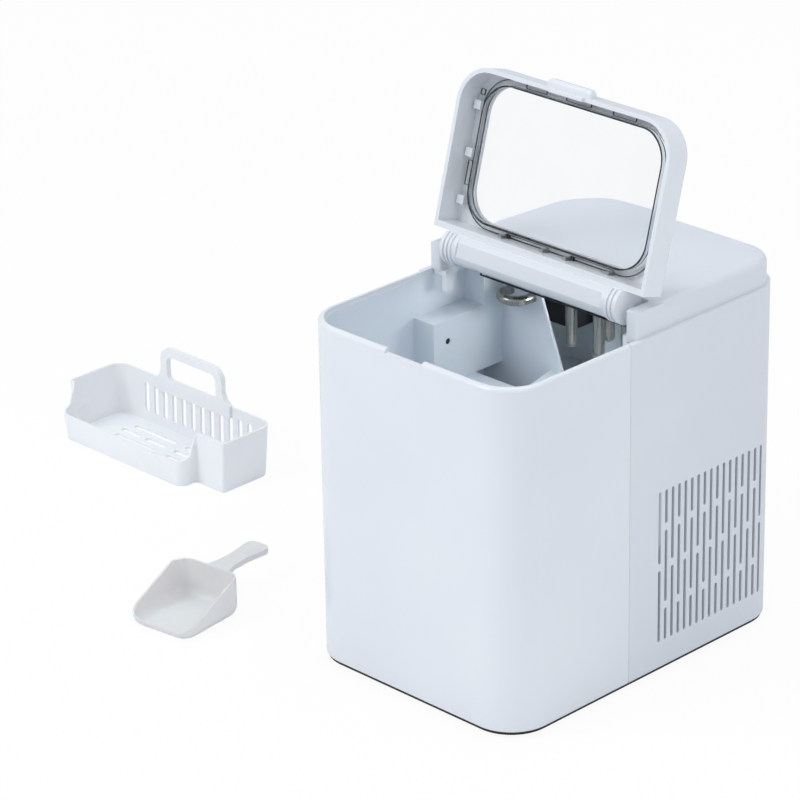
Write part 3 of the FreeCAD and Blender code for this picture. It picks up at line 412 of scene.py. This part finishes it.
def buildBasket(look):
    low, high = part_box("ice_basket")
    left, right, near, far, floor = low[0], high[0], low[1], high[1], low[2]
    jog, wall, top = near + look["step"], look["wall"], floor + look["rim"]
    middle = (left + right) / 2
    basket = addBlock("basket_moulding", (left, jog, floor), (right, far, top))
    noseLeft, noseRight = left + look["insetLeft"], right - look["insetRight"]
    roundEdges(basket, lambda e: runsAlong(e, 2) and middleOf(e).y > far - tiny, look["backCorner"], 7)
    for x in (noseLeft, noseRight):
        cutAcross(basket, (x, 0, 0), (1, 0, 0))
    select(basket, "faces", lambda f: f.normal.y < -0.9 and noseLeft < f.calc_center_median().x < noseRight)
    bpy.ops.mesh.extrude_region_move(TRANSFORM_OT_translate={"value": (0, -look["step"], 0)})
    climb = near + look["step"] * look["rise"]
    cutAcross(basket, (0, climb, 0), (0, 1, 0))
    for y, height in ((near, look["lip"]), (climb, look["lip"] * look["riseHeight"])):
        select(basket, "verts", lambda v: abs(v.co.y - y) < 1e-5 and v.co.z > top - 1e-5)
        bpy.ops.transform.translate(value=(0, 0, floor + height - top))

    def onStep(point, ends):
        return abs(point.y - jog) < tiny and min(abs(point.x - end) for end in ends) < tiny

    corners = (
        (lambda p: p.y < near + tiny, look["frontCorner"]),
        (lambda p: onStep(p, (left, right)), look["stepCorner"]),
        (lambda p: onStep(p, (noseLeft, noseRight)), look["stepCorner"]),
    )
    for test, radius in corners:
        roundEdges(basket, lambda e: runsAlong(e, 2) and test(middleOf(e)), radius, 6)
    openings = floor + look["lip"] * 0.9  # everything that faces up above this is taken away
    select(basket, "faces", lambda f: f.normal.z > 0.3 and f.calc_center_median().z > openings)
    bpy.ops.mesh.delete(type="FACE")
    select(basket, "verts", lambda v: v.co.z < floor + 1e-5)
    narrower = (look["draft"], look["draft"], 1)
    bpy.ops.transform.resize(value=narrower, center_override=(middle, (near + far) / 2, floor))
    roundEdges(basket, lambda e: not e.is_boundary and middleOf(e).z < floor + 1e-5 and len(e.link_faces) == 2
               and e.calc_face_angle(0) > 0.8, look["footRound"], 3)
    finishWith(basket, "SOLIDIFY", thickness=wall, offset=-1, use_even_offset=True)
    cutBars(basket, look, left + look["slotFirst"], far, floor, top)
    cutFloor(basket, look, middle, jog, floor)
    fuse(basket, makeLoop(look, middle, far, top, high[2]), "UNION")
    softenEdges(basket, look["edge"])
    finishPiece(basket, basketPlastic, "basket", "basket_plastic", "ice_basket")


def cutBars(basket, look, first, far, floor, top):
    low = (first, far - 8 * mm, floor + 10 * mm)
    high = (first + look["slotWidth"], far + 2 * mm, top - 9 * mm)
    bars = roundedSlot("bars", low, high, 1)
    finishWith(bars, "ARRAY", count=look["slots"], use_relative_offset=False, use_constant_offset=True,
               constant_offset_displace=(look["slotPitch"], 0, 0))
    fuse(basket, bars)


def cutFloor(basket, look, middle, jog, floor):
    for row, spans in enumerate(look["rows"]):
        y = jog + look["rowFirst"] + look["rowPitch"] * row
        for start, end in spans:
            low = (middle + start * mm, y, floor - mm)
            high = (middle + end * mm, y + look["slotWidth"], floor + look["wall"] + mm)
            fuse(basket, roundedSlot("floor slot", low, high, 2))


def makeLoop(look, middle, far, top, crown):
    half, spread, thick = look["loopHalf"], look["loopFoot"] / look["loopHalf"], look["loopThick"]
    bottom = top - 10 * mm
    loop = addBlock("loop", (middle - half, far - thick, bottom),
                    (middle + half, far - 0.1 * mm, crown - 0.1 * mm))
    for z in (top + 1 * mm, top + 5 * mm, top + 12 * mm):
        cutAcross(loop, (0, 0, z), (0, 0, 1))
    for z, wider in ((bottom, spread), (top + 1 * mm, spread), (top + 5 * mm, 1 + (spread - 1) * 0.35)):
        select(loop, "verts", lambda v: abs(v.co.z - z) < 1e-5)
        bpy.ops.transform.resize(value=(wider, 1, 1), center_override=(middle, far, z))
    roundEdges(loop, lambda e: runsAlong(e, 1) and middleOf(e).z > crown - mm, look["loopCorner"], 7)
    inside = half - look["loopBar"]
    opening = addBlock("opening", (middle - inside, far - thick - mm, top + 3 * mm),
                       (middle + inside, far + mm, crown - look["loopBar"]))
    roundEdges(opening, lambda e: runsAlong(e, 1), 6 * mm, 5)
    fuse(loop, opening)
    return loop


buildBasket(basketLook)
print("basket modelled")

scoopLook = {
    "place": (-230 * mm, -182 * mm, 0), "turn": 97,
    "long": 72 * mm, "lip": 8 * mm, "half": 33 * mm, "high": 34 * mm, "wall": 2 * mm,
    "corner": 15 * mm, "footRound": 10 * mm, "flatBack": 14 * mm, "edge": 0.6 * mm,
    "gripLong": 61 * mm, "gripHalf": 12 * mm, "gripThick": 5 * mm, "gripDrop": 9 * mm,
    "waist": ((6, 0.94), (18, 0.74), (34, 0.86)),  # mm along the grip, and its share of the full width there
}


def buildScoop(look):
    # modelled with its mouth to -X, then turned into place
    back, half, high, lip = look["long"] / 2, look["half"], look["high"], look["lip"]
    pan = addBlock("scoop_moulding", (-back, -half, 0), (back, half, high))
    roundEdges(pan, lambda e: runsAlong(e, 2), look["corner"], 8)
    roundEdges(pan, lambda e: middleOf(e).z < 1e-5, look["footRound"], 6)
    slope = (high - lip) / (2 * back - look["flatBack"])
    cutAcross(pan, (-back, 0, lip), (-slope, 0, 1), clear_outer=True)
    select(pan, "faces", lambda f: f.normal.z > 0.9 and f.calc_center_median().z > high - mm)
    bpy.ops.mesh.delete(type="FACE")
    finishWith(pan, "SOLIDIFY", thickness=look["wall"], offset=-1, use_even_offset=True)
    under = high - look["gripDrop"]
    grip = addBlock("grip", (back - 1 * mm, -look["gripHalf"], under),
                    (back + look["gripLong"], look["gripHalf"], under + look["gripThick"]))
    for x, share in look["waist"]:
        cutAcross(grip, (back + x * mm, 0, 0), (1, 0, 0))
        select(grip, "verts", lambda v: abs(v.co.x - back - x * mm) < 1e-5)
        bpy.ops.transform.resize(value=(1, share, 1), center_override=(0, 0, 0))
    roundEdges(grip, lambda e: runsAlong(e, 2) and middleOf(e).x > back + 50 * mm, 8 * mm, 6)
    fuse(pan, grip, "UNION")
    softenEdges(pan, look["edge"])
    pan.rotation_euler = (0, 0, math.radians(look["turn"]))
    pan.location = look["place"]
    takeOver(pan)
    bpy.ops.object.transform_apply(location=True, rotation=True, scale=True)
    finishPiece(pan, scoopPlastic, "scoop", "scoop_plastic", "ice_scoop")


buildScoop(scoopLook)
print("scoop modelled")

lidLook = {
    "halfWide": 91.6 * mm, "near": -138.5 * mm, "far": -30.5 * mm, "corner": 25 * mm,
    "glassOver": 6.5 * mm, "glassLow": 6 * mm, "glassTop": 8 * mm, "glassCorner": 5 * mm,
    "lipLow": 1.2 * mm, "lipWall": 1.3 * mm, "line": 0.9 * mm, "edge": 0.3 * mm,
    "slotY": -25.2 * mm, "slots": ((-48, -4), (20, 64)),  # start and end of each slot by the hinge, mm
    "sideSnaps": ((-74, -54), (-131, -126)),  # along the left side, mm
    "frontSnaps": ((-56, -34), (-14, 12), (34, 58)),  # along the front, mm
    "snapLine": 0.5 * mm, "snapLow": 4.2 * mm, "snapTop": 5.2 * mm,
}


def roundedRing(name, left, right, near, far, corner, width, bottom, top):
    deselectAll()
    bpy.ops.mesh.primitive_plane_add(size=1, location=((left + right) / 2, (near + far) / 2, bottom))
    ring = bpy.context.object
    ring.name = name
    ring.scale = (right - left, far - near, 1)
    takeOver(ring)
    bpy.ops.object.transform_apply(location=True, rotation=True, scale=True)
    select(ring, "verts", lambda v: True)
    bpy.ops.mesh.bevel(offset=corner, segments=10, affect="VERTICES")
    if width:
        select(ring, "faces", lambda f: True)
        bpy.ops.mesh.inset(thickness=width, use_even_offset=True)
        bpy.ops.mesh.delete(type="FACE")
    finishWith(ring, "SOLIDIFY", thickness=top - bottom, offset=1, use_even_offset=False)
    return ring


def joinAll(first, *others):
    takeOver(first)
    for other in others:
        other.select_set(True)
    bpy.ops.object.join()
    return first


def openWithLid(piece):
    # lid pieces are modelled with the lid shut about the hinge line, then swung open
    hinge = next(j for j in frame["joints"] if j["name"] == "lid_hinge")
    piece.rotation_euler = (math.radians(hinge["range_deg"][0]), 0, 0)
    piece.location = hinge["pos_m"]
    takeOver(piece)
    bpy.ops.object.transform_apply(location=True, rotation=True, scale=True)


def ringAround(name, look, out, corner, width, bottom, top):
    # a ring or plate that stands a set way outside the window's opening all round
    wide, near, far = look["halfWide"], look["near"], look["far"]
    return roundedRing(name, -wide - out, wide + out, near - out, far + out, corner, width, bottom, top)


def buildWindow(look):
    over, corner = look["glassOver"], look["corner"]
    low = look["glassLow"]
    pane = ringAround("window_pane", look, over, corner + look["glassCorner"], 0, low, look["glassTop"])
    wall = ringAround("window_lip", look, look["lipWall"], corner, look["lipWall"], look["lipLow"], low)
    for piece in (pane, wall):
        finishWith(piece, "BEVEL", width=look["edge"], segments=2, limit_method="ANGLE")
        smooth(piece)
        openWithLid(piece)
    finishPiece(pane, clearWindow, "lid", "clear_window", "lid_window")
    finishPiece(wall, clearEdge, "lid", "clear_window")
    # the dark edge, slot and snap lines are thin rings of painted shade
    edges = joinAll(*(lipLines(look) + slotLines(look) + snapLines(look)))
    edges.name = "window_edge_lines"
    openWithLid(edges)
    smooth(edges)
    finishPiece(edges, paintedEdgeShade, "lid", "clear_window")


def lipLines(look):
    # thin see-through rings of painted shade, for the dark lines that the sheet's edge and the lip's foot
    # draw all round
    line = look["line"]
    fine = line * 0.8
    places = (
        (1.5, look["lipLow"] - line),
        (1.5, look["glassLow"] - line),
        (look["glassOver"] / mm - 0.4, look["glassLow"] - fine),
    )
    lines = []
    for k, (out, low) in enumerate(places):
        out *= mm
        lines.append(ringAround("line%d" % k, look, out, look["corner"] + out * 0.6, fine, low, low + fine))
    return lines


def slotLines(look):
    # thin rings of painted shade around each slot by the hinge and its round end
    lines, y = [], look["slotY"]
    for k, (start, end) in enumerate(look["slots"]):
        left, right = start * mm, end * mm
        lines.append(roundedRing("slot%d" % k, left, right, y - 2.3 * mm, y + 2.3 * mm,
                                 1.2 * mm, 0.45 * mm, 4.2 * mm, 5.0 * mm))
        lines.append(roundedRing("eye%d" % k, left - 1.5 * mm, left + 3.5 * mm, y - 2.5 * mm, y + 2.5 * mm,
                                 2.3 * mm, 0.7 * mm, 3.6 * mm, 5.4 * mm))
    return lines


def snapLines(look):
    # thin rings of painted shade around each snap at the window's side and front
    lines, shape = [], (1.0 * mm, look["snapLine"], look["snapLow"], look["snapTop"])
    x, near = -look["halfWide"] - 7 * mm, look["near"]
    for start, end in look["sideSnaps"]:
        lines.append(roundedRing("side_snap", x - 2.6 * mm, x + 2.2 * mm, start * mm, end * mm, *shape))
    for start, end in look["frontSnaps"]:
        front, back = near - 6.6 * mm, near - 2.2 * mm
        lines.append(roundedRing("front_snap", start * mm, end * mm, front, back, *shape))
    return lines


buildWindow(lidLook)
print("window modelled")

handleLook = {
    "half": 23 * mm, "front": -156.9 * mm, "back": -150 * mm, "low": -12.2 * mm, "high": -3.3 * mm,
    "round": 2.8 * mm, "corner": 4.5 * mm,
}


def buildHandle(look):
    handle = addBlock("lid_grip", (-look["half"], look["front"], look["low"]),
                      (look["half"], look["back"], look["high"]))
    roundEdges(handle, lambda e: runsAlong(e, 2) and middleOf(e).y < look["front"] + mm, look["corner"], 6)
    roundEdges(handle, lambda e: middleOf(e).y < look["back"] - mm and not runsAlong(e, 2), look["round"], 4)
    smooth(handle, 40)
    finishWith(handle, "WEIGHTED_NORMAL", keep_sharp=True)
    openWithLid(handle)
    finishPiece(handle, glossAbs, "lid", "white_shell", "lid_handle")


buildHandle(handleLook)

guardLook = {
    "left": -76 * mm, "right": 78 * mm, "back": 6.4 * mm, "front": 5.2 * mm,
    "low": 286.2 * mm, "high": 299.8 * mm,
    "corner": 9 * mm, "edge": 1.1 * mm,
}


def copyOf(piece):
    twin = piece.copy()
    twin.data = piece.data.copy()
    scene.collection.objects.link(twin)
    return twin


def buildGuard(look):
    # smoked sheet with a black lower edge, its lower corners rounded
    left, right, low = look["left"], look["right"], look["low"]
    sheet = addBlock("guard_sheet", (left, look["front"], low), (right, look["back"], look["high"]))
    roundEdges(sheet, lambda e: runsAlong(e, 1) and middleOf(e).z < low + mm, look["corner"], 8)
    edge = copyOf(sheet)
    edge.name = "guard_edge"
    top = look["high"] - mm
    middle = ((left + right) / 2, (look["front"] + look["back"]) / 2, top)
    half, tall = (right - left) / 2, top - low
    slim, short = (half - look["edge"]) / half, (tall - look["edge"]) / tall

    def shrink(piece, depth):
        select(piece, "verts", lambda v: True)
        bpy.ops.transform.resize(value=(slim, depth, short), center_override=middle)
        bpy.ops.object.mode_set(mode="OBJECT")

    inner = copyOf(edge)
    shrink(inner, 3)  # deep enough to cut right through
    fuse(edge, inner)
    for piece in (sheet, edge):
        smooth(piece)
    shrink(sheet, 0.8)
    finishPiece(sheet, smokedSheet, "housing", "clear_window", "splash_guard")
    finishPiece(edge, darkEdge, "housing", "black_part")


buildGuard(guardLook)
print("handle and guard modelled")

cameraLook = {
    "target": (0, 0, 0.150), "azimuth": 43.20, "height": 24.81, "distance": 3.07607,
    "aimAzimuth": 45.54, "aimHeight": 23.87, "roll": -1.06, "lens": 176.14,
}


def towards(azimuth, height):
    a, h = math.radians(azimuth), math.radians(height)
    return Vector((math.sin(a) * math.cos(h), -math.cos(a) * math.cos(h), math.sin(h)))


def buildCamera(look):
    data = bpy.data.cameras.new("camera")
    data.lens, data.sensor_width, data.clip_end = look["lens"], 36, 50
    camera = bpy.data.objects.new("camera", data)
    scene.collection.objects.link(camera)
    back = towards(look["aimAzimuth"], look["aimHeight"])
    aim, roll = math.radians(look["aimAzimuth"]), math.radians(look["roll"])
    right = Vector((math.cos(aim), math.sin(aim), 0))
    up = back.cross(right)
    across = right * math.cos(roll) + up * math.sin(roll)
    upward = up * math.cos(roll) - right * math.sin(roll)
    turn = Matrix((across, upward, back)).transposed().to_4x4()
    away = towards(look["azimuth"], look["height"]) * look["distance"]
    camera.matrix_world = Matrix.Translation(Vector(look["target"]) + away) @ turn
    scene.camera = camera


buildCamera(cameraLook)

floorLook = {"size": 24.0, "colour": "#f7f8f9", "rough": 0.9, "glow": 0.93}


def seenDirectly(tree):
    # 1 where the eye meets it straight or through glass, 0 where it only lights the object
    rays = addNode(tree, "ShaderNodeLightPath")
    return addNode(tree, "ShaderNodeMath", {"operation": "MAXIMUM"},
                   {0: rays.outputs["Is Camera Ray"], 1: rays.outputs["Is Transmission Ray"]})


def buildFloor(look):
    deselectAll()
    bpy.ops.mesh.primitive_plane_add(size=look["size"], location=(0, 0, 0))
    floor = bpy.context.object
    floor.name = "floor"
    material = bpy.data.materials.new("white paper floor")
    material.use_nodes = True
    tree = material.node_tree
    shader = tree.nodes["Principled BSDF"]
    shader.inputs["Base Color"].default_value = hexToLinear(look["colour"])
    shader.inputs["Roughness"].default_value = look["rough"]
    glow = addNode(tree, "ShaderNodeEmission", {"Color": (1, 1, 1, 1), "Strength": 1.0})
    seen = seenDirectly(tree)
    part = addNode(tree, "ShaderNodeMath", {"operation": "MULTIPLY", 1: look["glow"]},
                   {0: seen.outputs["Value"]})
    ends = {"Fac": part.outputs["Value"], 1: shader.outputs["BSDF"], 2: glow.outputs["Emission"]}
    mix = addNode(tree, "ShaderNodeMixShader", links=ends)
    tree.links.new(mix.outputs["Shader"], tree.nodes["Material Output"].inputs["Surface"])
    floor.data.materials.append(material)


buildFloor(floorLook)

lightLook = {"sky": 0.62, "skyTint": "#f4f8ff"}


def buildSky(look):
    world = bpy.data.worlds.new("studio")
    world.use_nodes = True
    scene.world = world
    tree = world.node_tree
    soft = tree.nodes["Background"]
    soft.inputs["Color"].default_value = hexToLinear(look["skyTint"])
    soft.inputs["Strength"].default_value = look["sky"]
    white = addNode(tree, "ShaderNodeBackground", {"Color": (1, 1, 1, 1), "Strength": 1.0})
    seen = seenDirectly(tree)
    ends = {"Fac": seen.outputs["Value"], 1: soft.outputs["Background"], 2: white.outputs["Background"]}
    mix = addNode(tree, "ShaderNodeMixShader", links=ends)
    tree.links.new(mix.outputs["Shader"], tree.nodes["World Output"].inputs["Surface"])


buildSky(lightLook)

lamps = [
    {"name": "key", "at": (-1.2, -2.2, 2.4), "size": 1.6, "power": 34},
    {"name": "fill", "at": (2.6, -0.6, 1.5), "size": 1.6, "power": 10},
    {"name": "top", "at": (0.2, 0.4, 2.6), "size": 1.8, "power": 14},
    {"name": "inner", "at": (0.03, 0.075, 0.282), "size": 0.05, "power": 0.16},  # inside the freezing chamber
]
lampAim = Vector((0, 0, 0.2))
for lamp in lamps:
    data = bpy.data.lights.new(lamp["name"], "AREA")
    data.size, data.energy = lamp["size"], lamp["power"]
    lightObject = bpy.data.objects.new(lamp["name"], data)
    lightObject.location = lamp["at"]
    lightObject.rotation_euler = (lampAim - Vector(lamp["at"])).to_track_quat("-Z", "Y").to_euler()
    scene.collection.objects.link(lightObject)
print("camera, floor and lights set")
